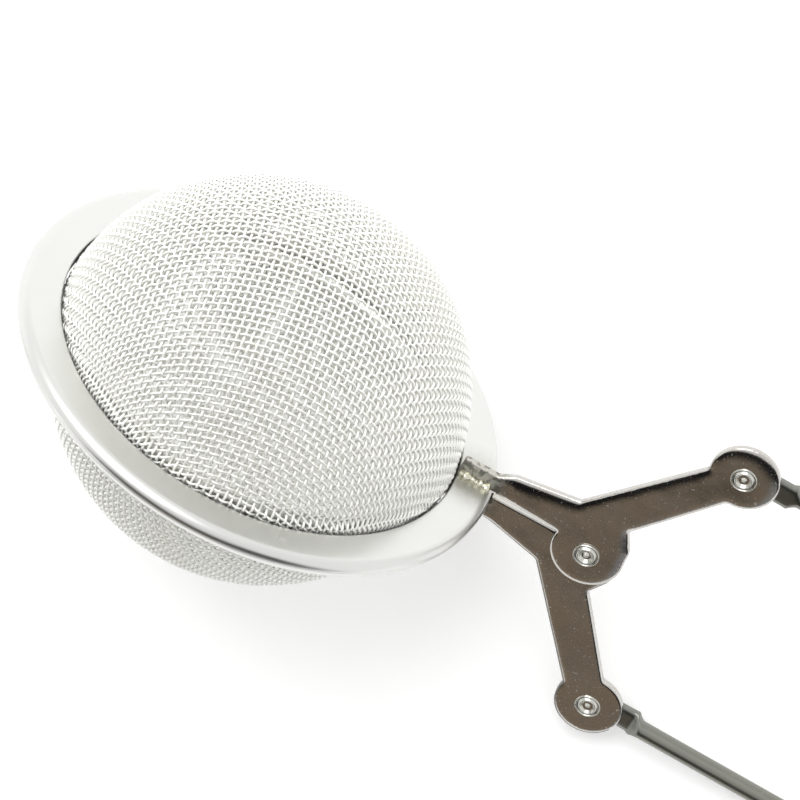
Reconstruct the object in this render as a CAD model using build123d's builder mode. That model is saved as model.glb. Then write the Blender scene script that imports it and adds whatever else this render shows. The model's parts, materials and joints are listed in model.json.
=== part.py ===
from build123d import *
from math import asin, atan2, cos, degrees, hypot, radians, sin
import os

# Mesh-ball tea infuser with a squeeze handle, all sizes in millimetres.
#
# Two mesh bowls close face to face into a ball. Each bowl is held in a stamped rim
# by an inner crimp ring, and each rim is welded to a Y-shaped lever. The two levers
# are riveted together at one pivot, and a bent spring wire joins their far ends, so
# that squeezing the wire opens the ball.
#
# Rim axes: origin at the ball's centre, X along the handle, Z square to the rims.
# The infuser is shown lying on a table (+Z up): the lower bowl, the edge of the
# rims and the far bend of the handle touch the table.

# Rims, one for each half, mirrored about the parting plane
rim_radius = 27.0
rim_inner_radius = 22.65
rim_height = 1.1
rim_sheet = 0.45
rim_edge_round = 0.7
parting_gap = 0.1

# Woven bowls, part spheres whose centres lie past the parting plane
bowl_radius = 22.6
bowl_thickness = 0.6
bowl_centre_drop = 1.5

# Crimp rings, which clamp the edge of each bowl inside its rim
crimp_inner_radius = 21.2
crimp_outer_radius = 21.9
crimp_height = 2.3
crimp_taper = 0.28

# Levers
lever_thickness = 0.9
upper_lever_front = 1.0
lever_gap = 0.15
pivot_x = 38.6
grip_x = 47.8
grip_z = 18.4
arm_width = 4.4
grip_lobe_radius = 3.75
pivot_lobe_radius = 3.95
arm_start_x = 33.67
tab_start_x = 22.6
tab_end_x = 26.5
tab_top_z = 3.1
shank_start_x = 27.15
shank_high_x = 28.3
shank_end_x = 34.0
notch = (41.0, 5.1)
lobe_shoulder = (42.3, 2.7)
inner_corner_round = 0.7
lever_edge_round = 0.28
weld_leg = 0.8

# Heights of each shank's edges over the parting plane: at the rim, then at the pivot
# end. The lower shank lies a little closer to that plane than the upper one.
upper_shank_inner = (0.98, 0.72)
upper_shank_outer = (4.1, 5.25)
lower_shank_inner = (0.3, 0.1)
lower_shank_outer = (3.25, 4.6)

# Rivets
rivet_radius = 1.1
running_clearance = 0.05
open_pivot_clearance = 0.62
front_head_radius = 1.42
front_head_height = 0.36
back_head_radius = 2.3
back_head_height = 0.5
head_gap = 0.1

# Handle: a bent spring wire with flattened ends, one leg for each lever
wire_diameter = 2.0
tang_thickness = 0.85
tang_end_radius = 2.6
tang_width = 3.2
tang_length = 5.6
leg_straight_end_x = 70.0
leg_taper = 6.0
leg_curve_radius = 150.0
handle_end_x = 129.0
bend_gap = 0.4

# The pose on the table
rim_tilt = 52.018
handle_swing = 5.941
ball_x = -51.21
ball_y = 0.0

wire_radius = wire_diameter / 2
lower_lever_front = upper_lever_front + lever_thickness + lever_gap
wire_y = lower_lever_front + lever_thickness + lever_gap / 3

tilt = radians(rim_tilt)
swing = radians(handle_swing)
ball_height = bowl_radius - bowl_centre_drop * cos(tilt)

# The table's axes, seen from the rim axes
table_up = Vector(-sin(tilt) * sin(swing), -sin(tilt) * cos(swing), cos(tilt))
table_x = (Vector(1, 0, 0) - table_up * table_up.X).normalized()
table_y = table_up.cross(table_x)

ball_centre = Vector(ball_x, ball_y, ball_height)
rim_x = Vector(table_x.X, table_y.X, table_up.X)
rim_y = Vector(table_x.Y, table_y.Y, table_up.Y)
rim_z = Vector(table_x.Z, table_y.Z, table_up.Z)
ball_axis = Axis(ball_centre, rim_z)

# Section planes through the handle: local x along the handle, local y away from the
# parting plane. The upper one's normal points to the front (-Y), the lower one's to
# the back (+Y).
upper_section = Plane(ball_centre, x_dir=rim_x, z_dir=-rim_y)
lower_section = Plane(ball_centre, x_dir=rim_x, z_dir=rim_y)


def place(x, y, z):
    """The point at x, y, z in the rim axes."""
    return ball_centre + rim_x * x + rim_y * y + rim_z * z


def make_rim(section):
    """A stamped ring: flat face, rounded outer edge, inner collar."""
    with BuildPart() as rim:
        with BuildSketch(section):
            with BuildLine():
                Polyline(
                    (rim_inner_radius, parting_gap),
                    (rim_inner_radius, rim_height),
                    (rim_radius, rim_height),
                    (rim_radius, parting_gap),
                    close=True,
                )
            make_face()
            top = vertices().group_by(Axis.Y)[-1].sort_by(Axis.X)
            fillet(top[1], rim_edge_round)
            fillet(top[0], rim_sheet / 2)
            with BuildLine():
                Polyline(
                    (rim_inner_radius + rim_sheet, 0),
                    (rim_inner_radius + rim_sheet, rim_height - rim_sheet),
                    (rim_radius - rim_sheet * 1.6, rim_height - rim_sheet),
                    (rim_radius - rim_sheet, rim_height - rim_sheet * 1.6),
                    (rim_radius - rim_sheet, 0),
                    close=True,
                )
            make_face(mode=Mode.SUBTRACT)
        revolve(axis=ball_axis)
    return rim.part


def make_bowl(section):
    """The thin part sphere that the woven mesh fills."""
    with BuildPart() as bowl:
        with BuildSketch(section):
            with Locations((0, -bowl_centre_drop)):
                Circle(bowl_radius)
                Circle(bowl_radius - bowl_thickness, mode=Mode.SUBTRACT)
            with Locations((0, parting_gap)):
                Rectangle(
                    bowl_radius + 1,
                    bowl_radius + 1,
                    align=(Align.MIN, Align.MIN),
                    mode=Mode.INTERSECT,
                )
        revolve(axis=ball_axis)
    return bowl.part


def make_crimp_ring(section):
    """The band inside a bowl's edge, tapered to follow the bowl's curve."""
    with BuildPart() as crimp:
        with BuildSketch(section):
            with BuildLine():
                Polyline(
                    (crimp_inner_radius, parting_gap),
                    (crimp_outer_radius, parting_gap),
                    (crimp_outer_radius - crimp_taper, crimp_height),
                    (crimp_inner_radius, crimp_height),
                    close=True,
                )
            make_face()
        revolve(axis=ball_axis)
    return crimp.part


def make_lever(sketch_plane, shank_inner, shank_outer):
    """A Y-shaped plate: rim tab and shank, pivot lobe, handle arm with its lobe."""
    arm_angle = atan2(grip_z, grip_x - arm_start_x)
    arm_length = hypot(grip_z, grip_x - arm_start_x)
    arm_middle = ((grip_x + arm_start_x) / 2, grip_z / 2)
    with BuildPart() as lever:
        with BuildSketch(sketch_plane):
            with BuildLine():
                Polyline(
                    (tab_start_x, rim_height),
                    (tab_start_x, tab_top_z),
                    (tab_end_x, tab_top_z),
                    (shank_high_x, shank_outer[0]),
                    (shank_end_x, shank_outer[1]),
                    notch,
                    lobe_shoulder,
                    (pivot_x, 0),
                    (shank_end_x, shank_inner[1]),
                    (shank_start_x, shank_inner[0]),
                    (shank_start_x, rim_height),
                    close=True,
                )
            make_face()
            with Locations((pivot_x, 0)):
                Circle(pivot_lobe_radius)
            with Locations((grip_x, grip_z)):
                Circle(grip_lobe_radius)
            with Locations(Location(arm_middle, degrees(arm_angle))):
                Rectangle(arm_length, arm_width)
            offset(amount=inner_corner_round)
            offset(amount=-inner_corner_round)
            with Locations((pivot_x, 0)):
                Circle(rivet_radius + running_clearance, mode=Mode.SUBTRACT)
            with Locations((grip_x, grip_z)):
                Circle(rivet_radius, mode=Mode.SUBTRACT)
        extrude(amount=lever_thickness)
        outline = [
            face.outer_wire().edges()
            for face in lever.faces().filter_by(sketch_plane)
        ]
        fillet([edge for edges in outline for edge in edges], lever_edge_round)
    return lever.part


def make_weld(section, front):
    """Two beads along a tab's foot, one on each of its sides; front is the side facing +normal."""
    with BuildPart() as weld:
        foot = Plane(
            ball_centre + section.x_dir * tab_start_x,
            x_dir=section.z_dir,
            z_dir=section.x_dir,
        )
        with BuildSketch(foot):
            for face, side in ((front, 1), (front - lever_thickness, -1)):
                with BuildLine():
                    Polyline(
                        (face, -rim_height),
                        (face, -rim_height - weld_leg),
                        (face + side * weld_leg, -rim_height),
                        close=True,
                    )
                make_face()
        extrude(amount=tab_end_x - tab_start_x)
    return weld.part


def make_rivet(x, z, front, back):
    """A tubular rivet from its front bearing face to its back one."""
    axis_point = place(x, 0, z)
    profile = Plane(axis_point, x_dir=rim_x, z_dir=rim_z)
    ring = front_head_radius
    top = front_head_height
    with BuildPart() as rivet:
        with BuildSketch(profile):
            with BuildLine():
                Polyline(
                    (0, front - top * 0.8),
                    (ring * 0.35, front - top * 0.15),
                    (ring * 0.58, front - top * 0.95),
                    (ring * 0.72, front - top),
                    (ring * 0.82, front - top * 0.45),
                    (ring * 0.92, front - top * 0.9),
                    (ring, front - top * 0.5),
                    (ring, front),
                    (rivet_radius, front),
                    (rivet_radius, back),
                    (back_head_radius, back),
                    (back_head_radius * 0.9, back + back_head_height * 0.6),
                    (back_head_radius * 0.55, back + back_head_height),
                    (0, back + back_head_height),
                    close=True,
                )
            make_face()
        revolve(axis=Axis(axis_point, rim_y))
    return rivet.part


def make_leg(section, tang_start, hole_radius):
    """Half of the handle wire, with its flattened end; tang_start is along the section's normal."""
    side = 1 if section is lower_section else -1
    taper = radians(leg_taper)
    curve_x = leg_straight_end_x + leg_curve_radius * sin(taper)
    curve_z = grip_z - leg_curve_radius * (1 - cos(taper))
    reach = handle_end_x - curve_x
    bend_radius = (curve_z * cos(taper) - reach * sin(taper)) / (1 - sin(taper))
    bend_x = handle_end_x - bend_radius
    end_turn = asin(bend_gap / 2 / bend_radius)
    turn_middle = (radians(90) + taper) / 2
    middle = (bend_x + bend_radius * sin(turn_middle), bend_radius * cos(turn_middle))
    tangent = (bend_x + bend_radius * sin(taper), bend_radius * cos(taper))
    apex = (bend_x + bend_radius * cos(end_turn), bend_radius * sin(end_turn))
    wire_plane = section.offset(side * wire_y)
    shoulder_x = grip_x + tang_length
    with BuildPart() as leg:
        with BuildLine(wire_plane):
            Line((shoulder_x, grip_z), (leg_straight_end_x, grip_z))
            ThreePointArc(
                (leg_straight_end_x, grip_z),
                (
                    leg_straight_end_x + leg_curve_radius * sin(taper / 2),
                    grip_z - leg_curve_radius * (1 - cos(taper / 2)),
                ),
                (curve_x, curve_z),
            )
            Line((curve_x, curve_z), tangent)
            ThreePointArc(tangent, middle, apex)
        start = Plane(
            wire_plane.from_local_coords((shoulder_x, grip_z, 0)), z_dir=rim_x
        )
        with BuildSketch(start):
            Circle(wire_radius)
        sweep()
        with BuildSketch(section.offset(tang_start)):
            with Locations((grip_x, grip_z)):
                Circle(tang_end_radius)
            with BuildLine():
                Polyline(
                    (grip_x, grip_z + tang_width / 2),
                    (shoulder_x - 0.5, grip_z + tang_width / 2),
                    (shoulder_x + 1.2, grip_z + wire_radius * 0.85),
                    (shoulder_x + 1.2, grip_z - wire_radius * 0.85),
                    (shoulder_x - 0.5, grip_z - tang_width / 2),
                    (grip_x, grip_z - tang_width / 2),
                    close=True,
                )
            make_face()
            with Locations((grip_x, grip_z)):
                Circle(hole_radius, mode=Mode.SUBTRACT)
        extrude(amount=tang_thickness)
    return leg.part


upper_lever_back = upper_lever_front + lever_thickness
lower_lever_back = lower_lever_front + lever_thickness
upper_tang_front = upper_lever_back + lever_gap
lower_tang_front = lower_lever_back + lever_gap

pieces = {
    "upper_rim": make_rim(upper_section),
    "lower_rim": make_rim(lower_section),
    "upper_mesh_bowl": make_bowl(upper_section),
    "lower_mesh_bowl": make_bowl(lower_section),
    "upper_crimp_ring": make_crimp_ring(upper_section),
    "lower_crimp_ring": make_crimp_ring(lower_section),
    "upper_lever": make_lever(
        upper_section.offset(-upper_lever_back), upper_shank_inner, upper_shank_outer
    ),
    "lower_lever": make_lever(
        lower_section.offset(lower_lever_front), lower_shank_inner, lower_shank_outer
    ),
    "upper_weld": make_weld(upper_section, -upper_lever_front),
    "lower_weld": make_weld(lower_section, lower_lever_back),
    "pivot_rivet": make_rivet(
        pivot_x, 0, upper_lever_front - head_gap, lower_lever_back
    ),
    "upper_handle_rivet": make_rivet(
        grip_x, grip_z, upper_lever_front, upper_tang_front + tang_thickness + head_gap
    ),
    "lower_handle_rivet": make_rivet(
        grip_x, -grip_z, lower_lever_front, lower_tang_front + tang_thickness + head_gap
    ),
    "upper_handle_leg": make_leg(
        upper_section,
        -upper_tang_front - tang_thickness,
        rivet_radius + open_pivot_clearance,
    ),
    "lower_handle_leg": make_leg(
        lower_section, lower_tang_front, rivet_radius + running_clearance
    ),
}

os.makedirs("parts", exist_ok=True)
for name, piece in pieces.items():
    piece.label = name
    export_step(piece, f"parts/{name}.step")
    box = piece.bounding_box()
    print(name, round(piece.volume, 2), [round(v, 2) for v in (*box.min, *box.max)])
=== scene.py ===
import json
import math
import random

import bpy
import numpy as np
from mathutils import Matrix, Vector


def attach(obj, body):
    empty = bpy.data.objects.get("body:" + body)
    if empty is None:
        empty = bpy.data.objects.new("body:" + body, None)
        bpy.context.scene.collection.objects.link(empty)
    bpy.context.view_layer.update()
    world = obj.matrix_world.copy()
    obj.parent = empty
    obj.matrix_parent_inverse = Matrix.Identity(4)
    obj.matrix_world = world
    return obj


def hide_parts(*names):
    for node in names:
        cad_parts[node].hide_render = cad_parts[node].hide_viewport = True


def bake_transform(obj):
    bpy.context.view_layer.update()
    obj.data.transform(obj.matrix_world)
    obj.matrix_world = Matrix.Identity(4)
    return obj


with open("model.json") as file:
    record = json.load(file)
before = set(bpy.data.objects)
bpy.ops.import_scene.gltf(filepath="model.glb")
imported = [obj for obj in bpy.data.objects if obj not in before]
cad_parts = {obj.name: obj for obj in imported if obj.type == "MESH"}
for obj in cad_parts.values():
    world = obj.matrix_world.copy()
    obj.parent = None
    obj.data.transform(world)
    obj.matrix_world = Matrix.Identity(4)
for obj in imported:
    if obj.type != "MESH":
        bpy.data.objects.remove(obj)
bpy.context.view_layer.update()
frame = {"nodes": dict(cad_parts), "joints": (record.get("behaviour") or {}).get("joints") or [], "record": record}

# ---------------------------------------------------------------------------
# Rim axes: X along the handle, Z square to the rims, Y along the pivots, with
# the ball's centre at the origin. Lengths are in millimetres in these axes, and
# rim_points() turns them into metres in the row frame.
# ---------------------------------------------------------------------------
chamber = next(o for o in frame["record"]["physics"]["openings"] if o["name"] == "tea_chamber")
centre = (Vector(chamber["box_m"][0]) + Vector(chamber["box_m"][1])) / 2
joints = {joint["name"]: joint for joint in frame["joints"]}
rim_y = Vector(joints["ball_pivot"]["axis"]).normalized()
to_pivot = Vector(joints["ball_pivot"]["pos_m"]) - centre
rim_x = (to_pivot - rim_y * to_pivot.dot(rim_y)).normalized()
rim_z = rim_x.cross(rim_y)
AXES = np.array([rim_x, rim_y, rim_z])
ORIGIN = np.array(centre)


def rim_points(points):
    """Points in millimetres in the rim axes, as metres in the row frame."""
    return ORIGIN + np.asarray(points, float) / 1000 @ AXES


def rim_point(x, y, z):
    return Vector(rim_points([(x, y, z)])[0])


def in_rim(points):
    """Points in metres in the row frame, as millimetres in the rim axes."""
    return (np.array(points, float) - ORIGIN) @ AXES.T * 1000


def node_box(node):
    """A CAD node's lowest and highest corner in the rim axes."""
    points = in_rim([v.co for v in frame["nodes"][node].data.vertices])
    return points.min(0), points.max(0)


PIVOT = in_rim(joints["ball_pivot"]["pos_m"])
GRIP = in_rim(joints["lower_grip_pivot"]["pos_m"])
BEND = in_rim(joints["handle_bend"]["pos_m"])
GRIP_X, GRIP_Z = GRIP[0], abs(GRIP[2])

rim_low, rim_high = node_box("upper_rim")
RIM_R, RIM_TOP, RIM_GAP = rim_high[0], rim_high[2], rim_low[2]
RIM_IN = 22.65                              # the collar's bore
UPPER_FRONT, UPPER_BACK = (corner[1] for corner in node_box("upper_lever"))
LOWER_FRONT, LOWER_BACK = (corner[1] for corner in node_box("lower_lever"))
TAB_START, TAB_END, TAB_TOP = 22.6, 26.5, 3.1     # the levers' tabs on the rims


# ---------------------------------------------------------------------------
# Camera
# ---------------------------------------------------------------------------
def look(name, location, right, up, forward, lens):
    """A camera at location, with its own axes given in the row frame."""
    data = bpy.data.cameras.new(name)
    data.lens = lens
    data.sensor_width = 36
    obj = bpy.data.objects.new(name, data)
    bpy.context.scene.collection.objects.link(obj)
    turned = Matrix((right, up, -forward)).transposed().to_4x4()
    turned.translation = location
    obj.matrix_world = turned
    bpy.context.scene.camera = obj


look(
    "camera",
    location=Vector((-0.020179, -0.003064, 0.5675)),
    right=Vector((0.87003, 0.49258, -0.02028)),
    up=Vector((-0.49197, 0.87014, 0.02855)),
    forward=Vector((-0.03171, 0.01487, -0.99939)),
    lens=237.587,
)


# ---------------------------------------------------------------------------
# Materials
# ---------------------------------------------------------------------------
class Wiring:
    """Adds nodes to a node tree and joins them. An input is a number, a colour or the
    output of another node."""

    def __init__(self, tree):
        self.nodes, self.links = tree.nodes, tree.links

    def put(self, socket, value):
        if isinstance(value, bpy.types.NodeSocket):
            self.links.new(value, socket)
        else:
            socket.default_value = value

    def add(self, kind, inputs, **settings):
        node = self.nodes.new(kind)
        for setting, value in settings.items():
            setattr(node, setting, value)
        for socket, value in inputs.items():
            self.put(node.inputs[socket], value)
        return node

    def noise(self, vector, scale, detail):
        inputs = {"Vector": vector, "Scale": scale, "Detail": detail}
        return self.add("ShaderNodeTexNoise", inputs).outputs["Fac"]

    def share(self, value, low, high, start, end, curve="SMOOTHSTEP"):
        """start where value is at low, and end where it is at high."""
        inputs = {"Value": value, "From Min": low, "From Max": high, "To Min": start, "To Max": end}
        return self.add("ShaderNodeMapRange", inputs, interpolation_type=curve).outputs["Result"]

    def mix(self, factor, a, b, kind="RGBA"):
        inputs = {"Factor": factor, "A": a, "B": b}
        return self.add("ShaderNodeMix", inputs, data_type=kind).outputs["Result"]

    def maths(self, operation, a, b):
        return self.add("ShaderNodeMath", {0: a, 1: b}, operation=operation).outputs["Value"]

    def bump(self, height, distance, strength=1.0):
        inputs = {"Height": height, "Distance": distance, "Strength": strength}
        return self.add("ShaderNodeBump", inputs)

    def ramp(self, stops, source):
        """A colour ramp through (place, colour) stops."""
        node = self.add("ShaderNodeValToRGB", {"Fac": source})
        node.color_ramp.interpolation = "EASE"
        ends = node.color_ramp.elements
        for end, (place, colour) in zip((ends[0], ends[1]), (stops[0], stops[-1])):
            end.position, end.color = place, (*colour, 1)
        for place, colour in stops[1:-1]:
            ends.new(place).color = (*colour, 1)
        return node.outputs["Color"]


# a point in each weld
WELD_FEET = [rim_point(24.4, 1.3, 1.6), rim_point(24.4, 2.4, -1.6)]
SOOT = (0.10, 0.10, 0.08, 1)


def burn(wires, coord, colour, rough, tint, reach, soot):
    """Dulls and tints a metal round the welds. reach is where the tint is whole and where
    it ends, in metres, and soot is how dark its flecks are. Returns colour and roughness."""
    away = []
    for foot in WELD_FEET:
        node = wires.add("ShaderNodeVectorMath", {0: coord, 1: foot}, operation="DISTANCE")
        away.append(node.outputs["Value"])
    nearest = wires.maths("MINIMUM", *away)
    burnt = wires.share(nearest, reach[1], reach[0], 0.0, 0.85)
    flecks = wires.share(wires.noise(coord, 1700.0, 5.0), 0.47, 0.6, 0.0, soot)
    colour = wires.mix(burnt, colour, tint)
    colour = wires.mix(wires.maths("MULTIPLY", burnt, flecks), colour, SOOT)
    return colour, wires.mix(burnt, rough, 0.42, kind="FLOAT")


def metal(name, colour, rough, rough_spread, grain, grain_scale=900.0, stretch=(1, 1, 1),
          stain=0.0, stain_colour=(0.3, 0.25, 0.17, 1), dark=0.0, mottle=0.0, speck=0.0,
          speck_colour=(0.9, 0.9, 0.85, 1), speck_scale=2200.0, speck_level=0.72, heat=None,
          wavy=0.0):
    """A bare metal: uneven roughness, faint stains and specks, and fine grain in the bump.
    heat holds burn()'s tint, reach and soot. wavy is how far the sheet is from flat, in
    metres."""
    mat = bpy.data.materials.new(name)
    mat.use_nodes = True
    wires = Wiring(mat.node_tree)
    surface = wires.nodes["Principled BSDF"]
    coord = wires.add("ShaderNodeTexCoord", {}).outputs["Object"]
    mapped = wires.add("ShaderNodeMapping", {"Vector": coord, "Scale": stretch})
    broad = wires.noise(coord, 90.0, 5.0)
    fine = wires.noise(mapped.outputs["Vector"], grain_scale, 6.0)

    roughness = wires.share(broad, 0.3, 0.7, rough - rough_spread, rough + rough_spread, "LINEAR")
    darker = (*[c * (1 - dark) for c in colour], 1)
    tone = wires.mix(fine, (*colour, 1), darker)
    tone = wires.mix(wires.share(broad, 0.52, 0.75, 0.0, stain, "LINEAR"), tone, stain_colour)
    if mottle:
        warm = (colour[0] * 0.94, colour[1] * 0.91, colour[2] * 0.87, 1)
        patches = wires.share(wires.noise(coord, 420.0, 3.0), 0.42, 0.62, 0.0, mottle)
        tone = wires.mix(patches, tone, warm)
    if speck:
        dots = wires.noise(coord, speck_scale, 2.0)
        dots = wires.share(dots, speck_level, speck_level + 0.05, 0.0, speck)
        tone = wires.mix(dots, tone, speck_colour)
        roughness = wires.mix(dots, roughness, 0.75, kind="FLOAT")
    if heat:
        tone, roughness = burn(wires, coord, tone, roughness, **heat)

    relief = wires.bump(fine, 0.00003, grain)
    if wavy:
        sheet = wires.bump(wires.noise(coord, 170.0, 1.0), wavy)
        wires.put(relief.inputs["Normal"], sheet.outputs["Normal"])
    wires.put(surface.inputs["Metallic"], 1.0)
    wires.put(surface.inputs["Base Color"], tone)
    wires.put(surface.inputs["Roughness"], roughness)
    wires.put(surface.inputs["Normal"], relief.outputs["Normal"])
    return mat


rim_mat = metal("rim_metal", (0.70, 0.70, 0.68), 0.30, 0.05, grain=0.3, stain=0.06,
                speck=0.7, speck_colour=(0.2, 0.2, 0.17, 1), speck_scale=1500.0, speck_level=0.80,
                heat=dict(tint=(0.50, 0.50, 0.45, 1), reach=(0.0010, 0.0060), soot=0.12))
mesh_mat = metal("mesh_metal", (0.96, 0.96, 0.93), 0.60, 0.06, grain=0.15, stain=0.06, dark=0.05)
crimp_mat = metal("crimp_metal", (0.95, 0.95, 0.92), 0.30, 0.06, grain=0.2, stain=0.06)
# painted shade: a near-black metal for the collar's bore, where shade falls between the rim and the cloth
collar_shade_mat = metal("collar_painted_shade", (0.07, 0.07, 0.06), 0.6, 0.1, grain=0.3, stain=0.3)
lever_mat = metal("lever_metal", (0.62, 0.605, 0.58), 0.15, 0.05, grain=0.35, grain_scale=1500,
                  stretch=(1, 0.35, 1), stain=0.15, dark=0.2, mottle=0.55, speck=0.35,
                  speck_level=0.66, speck_scale=3200.0, wavy=0.00012,
                  heat=dict(tint=(0.55, 0.54, 0.48, 1), reach=(0.0022, 0.0044), soot=0.8))
weld_mat = metal("weld_metal", (0.66, 0.64, 0.52), 0.2, 0.1, grain=0.5, grain_scale=1500,
                 stain=0.9, stain_colour=(0.12, 0.11, 0.07, 1))
# painted shade: a dark copy of the lever metal for the lower lever's side wall on its lower left
wall_shade_mat = metal("lever_wall_painted_shade", (0.22, 0.21, 0.19), 0.34, 0.08, grain=0.6, grain_scale=1800,
                 stain=0.3)
rivet_mat = metal("rivet_metal", (0.60, 0.595, 0.55), 0.24, 0.05, grain=0.2, stain=0.15)
wire_mat = metal("wire_metal", (0.23, 0.235, 0.21), 0.30, 0.06, grain=0.3, stain=0.15,
                 speck=0.3, speck_level=0.72)


# ---------------------------------------------------------------------------
# Mesh helpers
# ---------------------------------------------------------------------------
def make_piece(name, points, faces, mat, body=None, replaces=None):
    """A smooth mesh from points in the rim axes, riding on a body in place of a CAD node."""
    data = bpy.data.meshes.new(name)
    data.from_pydata([tuple(p) for p in rim_points(points)], [], faces)
    data.validate()
    data.update()
    data.polygons.foreach_set("use_smooth", [True] * len(data.polygons))
    obj = bpy.data.objects.new(name, data)
    bpy.context.scene.collection.objects.link(obj)
    obj.data.materials.append(mat)
    if body:
        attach(obj, body)
        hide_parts(replaces)
    return obj


def lathe(profile, steps, side):
    """Revolves a closed, anticlockwise profile of (radius, height) about Z, with its height
    turned over where side is -1. Returns points and faces."""
    if side < 0:
        profile = [(r, -z) for r, z in profile[::-1]]
    radius, height = np.asarray(profile, float).T
    points, faces = [], []
    n = len(profile)
    for k in range(steps):
        a = 2 * math.pi * k / steps
        points.append(np.stack([radius * math.cos(a), radius * math.sin(a), height], 1))
        m = (k + 1) % steps
        for i in range(n):
            j = (i + 1) % n
            faces.append((k * n + i, m * n + i, m * n + j, k * n + j))
    return np.concatenate(points), faces


def arc(cx, cy, r, start, end, n):
    """Points along an arc, in degrees from start to end."""
    angles = [math.radians(start + (end - start) * i / n) for i in range(n + 1)]
    return [(cx + r * math.cos(a), cy + r * math.sin(a)) for a in angles]


def skin(rings, sides, first=0, turned=False):
    """Faces between successive rings of points, and over both ends. first is the index of
    the first ring's first point, and turned faces look the other way."""
    faces = []
    for k in range(rings - 1):
        a, b = first + k * sides, first + (k + 1) * sides
        for s in range(sides):
            t = (s + 1) % sides
            faces.append((a + s, a + t, b + t, b + s))
    last = first + (rings - 1) * sides
    faces.append(tuple(first + s for s in range(sides))[::-1])
    faces.append(tuple(last + s for s in range(sides)))
    return [face[::-1] for face in faces] if turned else faces


def bell(value, middle, wide, high):
    """A smooth bump of the given height about middle."""
    return high * np.exp(-((value - middle) / wide) ** 2)


def ease(t):
    """A smooth rise from 0 to 1 as t goes from 0 to 1, and level outside that."""
    t = np.clip(t, 0, 1)
    return t * t * (3 - 2 * t)


# ---------------------------------------------------------------------------
# Rims: a stamped ring with a rolled outer edge and a collar round the mesh
# ---------------------------------------------------------------------------
SHEET = 0.45
LIP_R = 0.22          # the collar's lip
EDGE_R = 1.06         # the two rims' edges together look like one half-round roll
SEAM = 0.008          # half the gap between the rims


def rim_profile():
    """Closed, anticlockwise in (radius, height), for the upper rim."""
    out = [(RIM_IN, SEAM), (RIM_IN, RIM_TOP - 0.26)]
    out += arc(RIM_IN + LIP_R, RIM_TOP - LIP_R, LIP_R, 180, 90, 6)
    out += [(RIM_IN + 0.6, RIM_TOP - 0.005), (RIM_IN + 1.4, RIM_TOP - 0.02),
            (RIM_IN + 2.4, RIM_TOP - 0.008)]
    out += arc(RIM_R - EDGE_R, RIM_TOP - EDGE_R, EDGE_R, 90, 0, 16)
    out += [(RIM_R, SEAM), (RIM_R - SHEET, SEAM), (RIM_R - SHEET, RIM_TOP - SHEET * 1.6),
            (RIM_R - SHEET * 1.6, RIM_TOP - SHEET), (RIM_IN + SHEET, RIM_TOP - SHEET),
            (RIM_IN + SHEET, SEAM)]
    return out[::-1]


def rim_ring(name, body, side):
    points, faces = lathe(rim_profile(), 256, side)
    # sheet metal is never perfectly round or flat
    a = np.arctan2(points[:, 1], points[:, 0])
    r = np.hypot(points[:, 0], points[:, 1])
    wobble = np.abs(0.03 * np.sin(3 * a + 1.1 + side) + 0.02 * np.sin(7 * a + 0.4))
    wobble *= np.clip((r - RIM_IN - SHEET) / 2, 0, 1)
    points[:, 2] += side * 0.012 * np.sin(5 * a + side) * (r - RIM_IN) / 4
    points[:, 0] -= np.cos(a) * wobble
    points[:, 1] -= np.sin(a) * wobble
    obj = make_piece(name + "_rim_ring", points, faces, rim_mat, body, name + "_rim")
    # the collar's bore, where it closes round the cloth, is painted near-black as shade
    obj.data.materials.append(collar_shade_mat)
    for face in obj.data.polygons:
        if max(r[v] for v in face.vertices) < RIM_IN + 0.06:
            face.material_index = 1


def crimp_band(name, body, side):
    """The ring inside a bowl's edge, which holds the cloth in the collar."""
    low, high = node_box(name + "_crimp_ring")
    r_in, r_out, height = 21.2, high[0], max(abs(low[2]), abs(high[2]))
    profile = [(r_in, RIM_GAP), (r_out, RIM_GAP), (r_out - 0.10, 1.2)]
    profile += arc(r_out - 0.52, height - 0.22, 0.22, 20, 90, 5)
    profile += arc(r_in + 0.3, height - 0.3, 0.3, 90, 180, 8)
    points, faces = lathe(profile, 160, side)
    make_piece(name + "_crimp_band", points, faces, crimp_mat, body,
               name + "_crimp_ring")


for side, name in ((1, "upper"), (-1, "lower")):
    rim_ring(name, name + "_half", side)
    crimp_band(name, name + "_half", side)


# ---------------------------------------------------------------------------
# Woven bowls: warp and weft of a cloth draped on a ball
# ---------------------------------------------------------------------------
BOWL_R = 22.6
DROP = 1.5           # how far each bowl's centre lies past the parting plane
PITCH = 0.75         # from wire to wire
WIRE = 0.15          # wire radius
CRIMP = 0.15         # how far a wire weaves each side of the cloth's middle
MID_R = BOWL_R - CRIMP - WIRE - 0.01
HEM_TURN = 1.4       # turns the hem's fullest side to the front


def net(turn, count):
    """Nodes of a cloth draped over a unit sphere, from its middle at (count, count) outward.
    The next node in both directions mirrors this one in the plane through the sphere's
    centre and the two nodes beside it."""
    step = PITCH / MID_R
    size = 2 * count + 1
    nodes = np.full((size, size, 3), np.nan)
    ca, sa = math.cos(turn), math.sin(turn)
    for k in range(-count, count + 1):
        a = k * step
        nodes[count + k, count] = (math.sin(a) * ca, math.sin(a) * sa, math.cos(a))
        nodes[count, count + k] = (-math.sin(a) * sa, math.sin(a) * ca, math.cos(a))
    for si, sj in ((1, 1), (1, -1), (-1, 1), (-1, -1)):
        for i in range(count):
            for j in range(count):
                here = nodes[count + si * i, count + sj * j]
                normal = np.cross(nodes[count + si * (i + 1), count + sj * j],
                                  nodes[count + si * i, count + sj * (j + 1)])
                length = np.linalg.norm(normal)
                if not np.isfinite(length) or length < 1e-6:
                    continue
                normal /= length
                there = here - 2 * np.dot(here, normal) * normal
                nodes[count + si * (i + 1), count + sj * (j + 1)] = there
    return nodes


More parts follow.
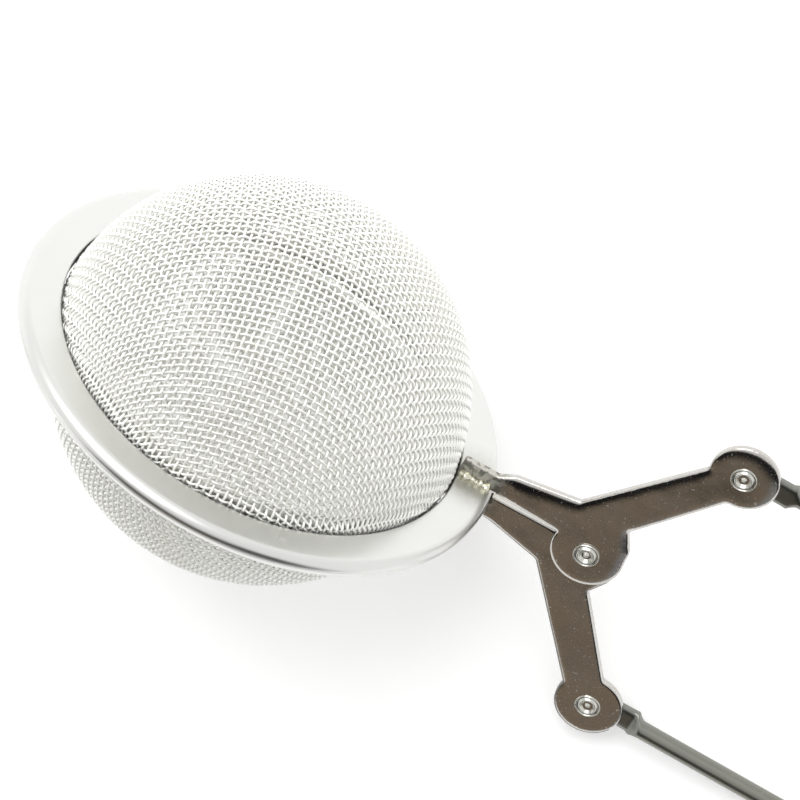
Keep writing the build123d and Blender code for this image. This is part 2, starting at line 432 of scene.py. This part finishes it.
def strands(nodes, along_i, parity, low):
    """Lines of cloth nodes down to just past low (unit sphere height), each a list of
    (point, over) where over is +1 where the wire lies outside and -1 inside."""
    size = len(nodes)
    lines = []
    for fixed in range(size):
        line = []
        for run in range(size):
            i, j = (run, fixed) if along_i else (fixed, run)
            p = nodes[i, j]
            inside = np.isfinite(p[0]) and p[2] > low - 0.09
            if inside:
                line.append((p, parity if (i + j) % 2 == 0 else -parity))
            if line and (not inside or run == size - 1):
                if len(line) > 3:
                    lines.append(line)
                line = []
    return lines


def smooth_line(line, per):
    """Catmull-Rom through the nodes, with the weave's height as a cosine between nodes."""
    points = np.array([p for p, _ in line])
    over = [o for _, o in line]
    n = len(points)
    out, height = [], []
    for k in range(n - 1):
        p0, p1 = points[max(k - 1, 0)], points[k]
        p2, p3 = points[k + 1], points[min(k + 2, n - 1)]
        for m in range(per):
            t = m / per
            q = 0.5 * (2 * p1 + (p2 - p0) * t + (2 * p0 - 5 * p1 + 4 * p2 - p3) * t * t
                       + (3 * p1 - 3 * p2 + p3 - p0) * t ** 3)
            out.append(q / np.linalg.norm(q))
            height.append(over[k] * math.cos(math.pi * t))
    out.append(points[-1])
    height.append(over[-1])
    return np.array(out), np.array(height)


def tube(line, outward, radius, sides, points, faces):
    """Adds a capped tube along line to points and faces."""
    along = np.gradient(line, axis=0)
    along /= np.linalg.norm(along, axis=1)[:, None]
    e1 = outward - (outward * along).sum(1)[:, None] * along
    e1 /= np.linalg.norm(e1, axis=1)[:, None]
    e2 = np.cross(along, e1)
    angles = [2 * math.pi * (s + 0.5) / sides for s in range(sides)]
    sweeps = [line + radius * (math.cos(a) * e1 + math.sin(a) * e2) for a in angles]
    faces.extend(skin(len(line), sides, len(points)))
    for k in range(len(line)):
        points.extend(sweep[k] for sweep in sweeps)


def hem(place):
    """How far the cloth stands out at each point: it swells over the collar and draws in
    above that, most of all in front."""
    front = (0.5 + 0.5 * np.cos(np.arctan2(place[:, 1], place[:, 0]) + HEM_TURN)) ** 2
    above = np.abs(place[:, 2]) - RIM_TOP
    return front * (bell(above, 0.38, 0.32, 0.3) - bell(above, 1.15, 0.34, 0.16))


def woven(name, side, turn):
    """Warp and weft of one bowl. side is +1 for the upper bowl."""
    nodes = net(turn, int(math.pi / 2 * MID_R / PITCH) + 6)
    low = (RIM_GAP + DROP + 0.12) / MID_R     # where the wires end, inside the rim
    over = np.array((1, 1, side))
    for along_i, parity, kind in ((True, 1, "warp"), (False, -1, "weft")):
        points, faces = [], []
        for line in strands(nodes, along_i, parity, low):
            outward, height = smooth_line(line, 3)
            keep = outward[:, 2] > low
            if keep.sum() < 4:
                continue
            first, last = np.argmax(keep), len(keep) - np.argmax(keep[::-1])
            outward, height = outward[first:last], height[first:last]
            place = outward * (MID_R + CRIMP * height)[:, None]
            place[:, 2] -= DROP
            place[:, :2] *= (1 + hem(place) / BOWL_R)[:, None]
            tube(place * over, outward * over, WIRE, 6, points, faces)
        make_piece(f"{name}_mesh_{kind}", points, faces, mesh_mat,
                   name + "_half", name + "_mesh_bowl")


woven("upper", 1, math.radians(8))
woven("lower", -1, math.radians(20))


# ---------------------------------------------------------------------------
# Levers: stamped plates with a rolled front edge
# ---------------------------------------------------------------------------
GRIP_R, PIVOT_R = 3.75, 3.95      # the round ends
HALF_ARM = 2.2
ARM_START = 33.67                 # where the arm's middle line meets the parting plane
SHANK_START, SHANK_END = 28.1, 34.0
FOOT_END = 27.15                  # where the tab leaves the rim
NOTCH, SHOULDER = (41.0, 5.1), (42.3, 2.7)
STEP = 0.09                       # between points of an outline

# how the front edge rolls over: (inset, depth, raggedness), where plate() scales the
# inset and part of the depth by the roll's width
ROLL = [(2.1, 0.0, 0), (1.8, 0.004, 0), (1.5, 0.011, 0), (1.2, 0.024, 0), (0.95, 0.042, 0),
        (0.75, 0.062, 0), (0.55, 0.092, 0), (0.38, 0.13, 0), (0.25, 0.172, 0.4),
        (0.14, 0.222, 1), (0.06, 0.285, 1), (0.0, 0.36, 0.5)]
# on the lower lever, the side wall's own look is painted shade
WALL_RING = 6                     # the side wall's own look starts at this ring


def even(points):
    """A closed outline resampled at even steps."""
    p = np.asarray(points, float)
    closed = np.vstack([p, p[:1]])
    run = np.cumsum(np.linalg.norm(np.diff(closed, axis=0), axis=1))
    run = np.concatenate([[0], run])
    n = int(run[-1] / STEP)
    t = np.arange(n) * run[-1] / n
    return np.stack([np.interp(t, run, closed[:, 0]), np.interp(t, run, closed[:, 1])], 1)


def soften(points, sigma):
    """A closed, evenly spaced outline with its corners rounded."""
    reach = int(4 * sigma / STEP)
    weights = np.exp(-0.5 * (np.arange(-reach, reach + 1) * STEP / sigma) ** 2)
    weights /= weights.sum()
    return sum(w * np.roll(points, m - reach, axis=0) for m, w in enumerate(weights))


def line_circle(p, d, c, r):
    """Where the line from p along d first meets the circle."""
    d = d / np.linalg.norm(d)
    b = (p - c) @ d
    return p - d * (b + math.sqrt(max(0.0, b * b - (p - c) @ (p - c) + r * r)))


def sweep_round(c, r, a, b, n):
    """Clockwise arc points from the direction of a to that of b about c."""
    start = math.atan2(a[1] - c[1], a[0] - c[0])
    end = math.atan2(b[1] - c[1], b[0] - c[0])
    while end > start:
        end -= 2 * math.pi
    angles = [start + (end - start) * k / n for k in range(n + 1)]
    return [(c[0] + r * math.cos(t), c[1] + r * math.sin(t)) for t in angles]


def tangent_point(p, c, r):
    """Where a line from p touches the circle, on its clockwise side as seen from c."""
    d = np.asarray(p, float) - c
    a = math.atan2(d[1], d[0]) - math.acos(r / np.linalg.norm(d))
    return np.array((c[0] + r * math.cos(a), c[1] + r * math.sin(a)))


def lever_outline(inner, outer):
    """A lever's outline, clockwise, in (x, height over the parting plane). inner and outer
    are the heights of the shank's two edges, at the rim and at the pivot end."""
    grip, pivot = np.array((GRIP_X, GRIP_Z)), np.array((PIVOT[0], 0.0))
    start = np.array((ARM_START, 0.0))
    along = (grip - start) / np.linalg.norm(grip - start)
    left = np.array((-along[1], along[0])) * HALF_ARM
    grip_in = line_circle(start + left, along, grip, GRIP_R)
    grip_out = line_circle(start - left, along, grip, GRIP_R)
    low_a, low_b = np.array((FOOT_END, inner[0])), np.array((SHANK_END, inner[1]))
    pivot_in = tangent_point(SHOULDER, pivot, PIVOT_R)
    pivot_out = line_circle(low_a, low_b - low_a, pivot, PIVOT_R)
    shank_a, shank_b = np.array((SHANK_START, outer[0])), np.array((SHANK_END, outer[1]))
    across = np.array([shank_b - shank_a, -along]).T
    elbow = shank_a + (shank_b - shank_a) * np.linalg.solve(across, start + left - shank_a)[0]
    out = [(TAB_START, RIM_TOP), (TAB_START, TAB_TOP), (TAB_END, TAB_TOP), shank_a, elbow,
           grip_in]
    out += sweep_round(grip, GRIP_R, grip_in, grip_out, 60)
    out += [NOTCH, SHOULDER]
    out += sweep_round(pivot, PIVOT_R, pivot_in, pivot_out, 60)
    out += [low_a, (FOOT_END, RIM_TOP)]
    return out


def plate(name, side, inner, outer, front, back, roll, wall_mat):
    """A lever's plate, from its front face to its back face along Y. roll is how wide the
    front edge rolls over, at the lower left and at the upper right."""
    rough = even(lever_outline(inner, outer))
    line = soften(rough, 0.2)
    foot = (rough[:, 1] < RIM_TOP + 0.15) & (rough[:, 0] < FOOT_END + 0.35)
    line[foot] = rough[foot]
    tangent = np.roll(line, -1, axis=0) - np.roll(line, 1, axis=0)
    tangent /= np.linalg.norm(tangent, axis=1)[:, None]
    inward = np.stack([tangent[:, 1], -tangent[:, 0]], 1)
    n = len(line)

    # the roll is wide where the edge faces the upper right, and narrower on the tab
    facing = -inward @ np.array((0.5, 0.866 * side))
    width = roll[0] + (roll[1] - roll[0]) * ease((facing + 0.35) / 1.1)
    width = soften(np.stack([width] * 2, 1), 0.5)[:, :1]
    width = width * (0.35 + 0.65 * np.clip((line[:, :1] - 26.8) / 1.6, 0, 1))
    draw = random.Random(119 + side)
    rag = np.array([draw.uniform(-1, 1) for _ in range(n)])
    rag = (rag + 0.6 * np.roll(rag, 1) + 0.6 * np.roll(rag, -1))[:, None] * 0.016

    thickness = back - front
    rings = []
    for inset, depth, ragged in ROLL:
        ring = line + inward * (inset * width + np.maximum(rag * ragged, 0))
        rings.append((ring, front + depth * (0.3 + 0.7 * width[:, 0])))
    for inset, depth in ((0.0, 0.5), (0.035, 0.54), (0.03, 0.62), (0.0, thickness - 0.12),
                         (0.03, thickness - 0.05), (0.12, thickness)):
        rings.append((line + inward * inset, np.full(n, front + depth)))
    points = [(x, y, side * z) for ring, ys in rings for (x, z), y in zip(ring, ys)]
    faces = skin(len(rings), n, turned=side < 0)
    obj = make_piece(name + "_lever_plate", points, faces, lever_mat,
                     name + "_half", name + "_lever")
    # the two faces are flat, and the side wall's lower left takes wall_mat, which on the lower lever is a darker
    # copy of the metal as painted shade
    obj.data.materials.append(wall_mat)
    for face in obj.data.polygons:
        first = min(face.vertices)
        if len(face.vertices) > 4:
            face.use_smooth = False
        elif first >= WALL_RING * n and facing[first % n] < 0.1:
            face.material_index = 1


plate("upper", 1, (0.98, 0.72), (4.1, 5.25), UPPER_FRONT, UPPER_BACK, (0.42, 0.84), lever_mat)
plate("lower", -1, (0.3, 0.1), (3.25, 4.6), LOWER_FRONT, LOWER_BACK, (0.42, 0.14), wall_shade_mat)


# ---------------------------------------------------------------------------
# Welds: a row of lumps along each side of a tab's foot
# ---------------------------------------------------------------------------
def weld(name, face, face_y, out, side, seed):
    """A lumpy bead along a tab. out is the side it bulges to, +1 or -1 along Y."""
    draw = random.Random(seed)
    lumps = []
    x = TAB_START + 0.15
    while x < TAB_END - 0.1:
        lumps.append((x, draw.uniform(0.5, 0.74), draw.uniform(-0.1, 0.16)))
        x += draw.uniform(0.75, 1.15)
    points = []
    start, end = TAB_START + 0.02, TAB_END - 0.05
    steps, sides = 60, 18
    for k in range(steps + 1):
        x = start + (end - start) * k / steps
        size = max(s * math.sqrt(max(0.0, 1 - ((x - c) / (s * 1.25)) ** 2)) for c, s, _ in lumps)
        shift = sum(bell(x, c, 0.3, sh) for c, _, sh in lumps)
        end_in = min(x - TAB_START, TAB_END - 0.02 - x)
        size = max(size, 0.26) * min(1.0, math.sqrt(max(0.0, end_in) / 0.25))
        for s in range(sides):
            a = 2 * math.pi * s / sides
            r = 0.95 * size * (1 + 0.07 * math.sin(3 * a + x * 5 + seed))
            z = RIM_TOP + 0.04 + shift * 0.5 + r * math.sin(a)
            points.append((x, face_y + out * (0.02 + r * math.cos(a)),
                           side * max(z, RIM_TOP - 0.4)))
    faces = skin(steps + 1, sides, turned=out * side > 0)
    make_piece(f"{name}_weld_{face}", points, faces, weld_mat, name + "_half",
               name + "_weld")


weld("upper", "front", UPPER_FRONT, -1, 1, 3)
weld("upper", "back", UPPER_BACK, 1, 1, 5)
weld("lower", "front", LOWER_FRONT, -1, -1, 7)
weld("lower", "back", LOWER_BACK, 1, -1, 9)


# ---------------------------------------------------------------------------
# Rivets: a rolled eyelet in front, a flat head behind
# ---------------------------------------------------------------------------
EYELET_R = 1.42
BORE_R = 1.05


def rivet(name, x, z, front, back, body, seed):
    # a peak, a hollow, a fat ring and a thin one, in front of the plate
    profile = []
    for k in range(36):
        r = EYELET_R * k / 35
        high = bell(r, 0, 0.24, 0.2) + bell(r, 0.48, 0.14, -0.08)
        high += bell(r, 0.86, 0.2, 0.3) + bell(r, 1.31, 0.09, 0.17)
        profile.append((r, front - high))
    profile += [(EYELET_R - 0.02, front + 0.02), (BORE_R, front + 0.02)]
    profile += [(r, back + h) for r, h in
                ((BORE_R, 0), (2.2, 0), (2.28, 0.06), (2.24, 0.2), (2.0, 0.34), (1.6, 0.44),
                 (1.0, 0.49), (0.0, 0.5))]
    turn = random.Random(seed).uniform(0, 6)
    steps, n = 72, len(profile)
    points, faces = [], []
    for k in range(steps):
        a = 2 * math.pi * k / steps
        uneven = 1 + 0.02 * math.sin(2 * a + turn) + 0.012 * math.sin(5 * a + turn * 2)
        for r, h in profile:
            dent = 0.0
            if h < front + 0.05:
                dent = 0.02 * math.sin(a + turn) * (r < 1.3)
                r = min(r * uneven, EYELET_R)
            points.append((x + r * math.cos(a), h + dent, z + r * math.sin(a)))
        m = (k + 1) % steps
        for i in range(n - 1):
            faces.append((k * n + i, k * n + i + 1, m * n + i + 1, m * n + i))
    make_piece(name + "_eyelet", points, faces, rivet_mat, body, name)


def head_y(node):
    """Where a handle rivet's rear head starts, which is 0.5 thick."""
    return node_box(node)[1][1] - 0.5


rivet("pivot_rivet", PIVOT[0], 0.0, node_box("pivot_rivet")[0][1] + 0.36, LOWER_BACK,
      "lower_half", 1)
rivet("upper_handle_rivet", GRIP_X, GRIP_Z, UPPER_FRONT, head_y("upper_handle_rivet"),
      "upper_half", 2)
rivet("lower_handle_rivet", GRIP_X, -GRIP_Z, LOWER_FRONT, head_y("lower_handle_rivet"),
      "lower_half", 3)


# ---------------------------------------------------------------------------
# Handle: one bent wire with flattened, pierced ends
# ---------------------------------------------------------------------------
WIRE_R = 1.0
EYE_R = 2.6
FLAT = 0.425                      # half the flat ends' thickness
FLAT_GAP = 0.15                   # from a lever's back to the flat end
SHOULDER_X = GRIP_X + 5.5         # where the flat end turns into wire
TANG = 1.42                       # half the width between the eye and the shoulder
STRAIGHT_END = 70.0               # where the legs start to curve
TAPER = math.radians(6)           # the legs close in by this angle
CURVE_R = 150.0


def leg_line():
    """The upper leg's middle line, from its eye to the bend, in (x, z)."""
    curve_x = STRAIGHT_END + CURVE_R * math.sin(TAPER)
    curve_z = GRIP_Z - CURVE_R * (1 - math.cos(TAPER))
    bend_r = curve_z * math.cos(TAPER) - (BEND[0] - curve_x) * math.sin(TAPER)
    bend_r /= 1 - math.sin(TAPER)
    bend_x = BEND[0] - bend_r
    turn_x, turn_z = bend_x + bend_r * math.sin(TAPER), bend_r * math.cos(TAPER)
    line = []
    for k in range(130):
        line.append((STRAIGHT_END * k / 130 + (GRIP_X - EYE_R) * (1 - k / 130), GRIP_Z))
    for k in range(16):
        a = TAPER * k / 16
        line.append((STRAIGHT_END + CURVE_R * math.sin(a), GRIP_Z - CURVE_R * (1 - math.cos(a))))
    for k in range(30):
        line.append((curve_x + (turn_x - curve_x) * k / 30, curve_z + (turn_z - curve_z) * k / 30))
    for k in range(25):
        a = TAPER + (math.pi / 2 - TAPER) * k / 25
        line.append((bend_x + bend_r * math.sin(a), bend_r * math.cos(a)))
    return line


def wire_section(x, lever_back):
    """Half width, half thickness, middle's y and squareness at x."""
    flat_y = lever_back + FLAT_GAP + FLAT
    eye = math.sqrt(max(0.0, EYE_R ** 2 - (x - GRIP_X) ** 2))
    if x < GRIP_X:
        return max(eye, 0.02), FLAT, flat_y, 7.0
    u = ease((x - SHOULDER_X + 0.7) / 1.5)
    tang = max(eye if x < GRIP_X + EYE_R else 0.0, TANG + bell(x, SHOULDER_X - 0.1, 0.28, 0.3))
    return (tang * (1 - u) + WIRE_R * u, FLAT * (1 - u) + WIRE_R * u,
            flat_y * (1 - u) + BEND[1] * u, 7.0 * (1 - u) + 2.0 * u)


def handle():
    leg = leg_line()
    path = np.array(leg + [(BEND[0], 0.0)] + [(x, -z) for x, z in leg[::-1]])
    along = np.gradient(path, axis=0)
    along /= np.linalg.norm(along, axis=1)[:, None]
    across = np.stack([-along[:, 1], along[:, 0]], 1)
    n, sides = len(path), 28
    points = []
    for k, (x, z) in enumerate(path):
        wide, thick, y, square = wire_section(x, UPPER_BACK if k < n / 2 else LOWER_BACK)
        for s in range(sides):
            a = 2 * math.pi * (s + 0.5) / sides
            ca, sa = math.cos(a), math.sin(a)
            q = (abs(ca) ** square + abs(sa) ** square) ** (-1 / square)
            off = q * ca * wide
            points.append((x + across[k, 0] * off, y + q * sa * thick, z + across[k, 1] * off))
    obj = make_piece("handle_wire", points, skin(n, sides), wire_mat)
    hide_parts("upper_handle_leg", "lower_handle_leg")
    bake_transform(obj)


handle()


# ---------------------------------------------------------------------------
# Floor and light
# ---------------------------------------------------------------------------
def aim(obj, axis, direction):
    """Turns an object so that its own axis points in a direction."""
    obj.rotation_mode = "QUATERNION"
    obj.rotation_quaternion = Vector(direction).to_track_quat(axis, "Y")


def paper_floor(half):
    data = bpy.data.meshes.new("floor")
    corners = [(-half, -half, 0), (half, -half, 0), (half, half, 0), (-half, half, 0)]
    data.from_pydata(corners, [], [(0, 1, 2, 3)])
    floor = bpy.data.objects.new("floor", data)
    aim(floor, "Z", (0, 0, 1))
    bpy.context.scene.collection.objects.link(floor)
    mat = bpy.data.materials.new("floor_paper")
    mat.use_nodes = True
    surface = mat.node_tree.nodes["Principled BSDF"]
    surface.inputs["Base Color"].default_value = (0.84, 0.84, 0.84, 1)
    surface.inputs["Emission Color"].default_value = (1, 1, 1, 1)
    surface.inputs["Emission Strength"].default_value = 0.26
    surface.inputs["Roughness"].default_value = 0.7
    surface.inputs["Specular IOR Level"].default_value = 0.2
    floor.data.materials.append(mat)


def area(name, location, target, size, power):
    light = bpy.data.lights.new(name, "AREA")
    light.size = size
    light.energy = power
    obj = bpy.data.objects.new(name, light)
    obj.location = location
    aim(obj, "-Z", Vector(target) - Vector(location))
    bpy.context.scene.collection.objects.link(obj)


def grey(v):
    return (v, v, v)


def around(degrees):
    """A bearing from the dark side, as a place on a ramp."""
    return 0.5 + degrees / 180


BROWN = (0.220, 0.176, 0.132)
SKY = 1.1
WALLS = [(0.0, grey(1.0)), (0.3, grey(1.0)), (0.65, grey(0.92)), (1.0, grey(0.85))]
LOW_DARK = [(around(-46), grey(0.5)), (around(-36), grey(0.03)), (around(-24), grey(0.03)),
            (around(-12), BROWN), (around(12), BROWN), (around(17), grey(0.25)),
            (around(36), grey(0.28)), (around(41), grey(0.02)), (around(52), grey(0.02)),
            (around(64), grey(0.5))]
BAND = [(0.24, grey(0.0)), (0.36, grey(1.0))]
HIGH_DARK = [(0.3, grey(0.01)), (0.64, grey(0.01)), (0.8, grey(0.75)), (1.0, grey(0.85))]
SECTOR = [(around(-48), grey(0.0)), (around(-36), grey(1.0)), (around(56), grey(1.0)),
          (around(72), grey(0.0))]


def studio():
    """A light room over a bright table. Towards -Y it has a warm brown wall with a black
    band over it."""
    world = bpy.data.worlds.new("studio")
    bpy.context.scene.world = world
    world.use_nodes = True
    wires = Wiring(world.node_tree)
    coord = wires.add("ShaderNodeTexCoord", {}).outputs["Generated"]
    split = wires.add("ShaderNodeSeparateXYZ", {"Vector": coord}).outputs
    # 0 at 90 degrees left of the dark side, 0.5 straight at it, 1 at 90 degrees right
    bearing = wires.maths("ARCTAN2", split["X"], wires.maths("MULTIPLY", split["Y"], -1))
    bearing = wires.maths("ADD", wires.maths("DIVIDE", bearing, math.pi), 0.5)
    height = split["Z"]
    dark = wires.mix(wires.ramp(BAND, height), wires.ramp(LOW_DARK, bearing),
                     wires.ramp(HIGH_DARK, height))
    sky = wires.mix(wires.ramp(SECTOR, bearing), wires.ramp(WALLS, height), dark)
    background = wires.nodes["Background"]
    wires.put(background.inputs["Color"], sky)
    wires.put(background.inputs["Strength"], SKY)


paper_floor(3.0)
studio()
area("key", (-0.45, 0.35, 0.9), (-0.02, 0, 0.02), 0.8, 6.0)
bpy.context.scene.view_settings.view_transform = "Standard"
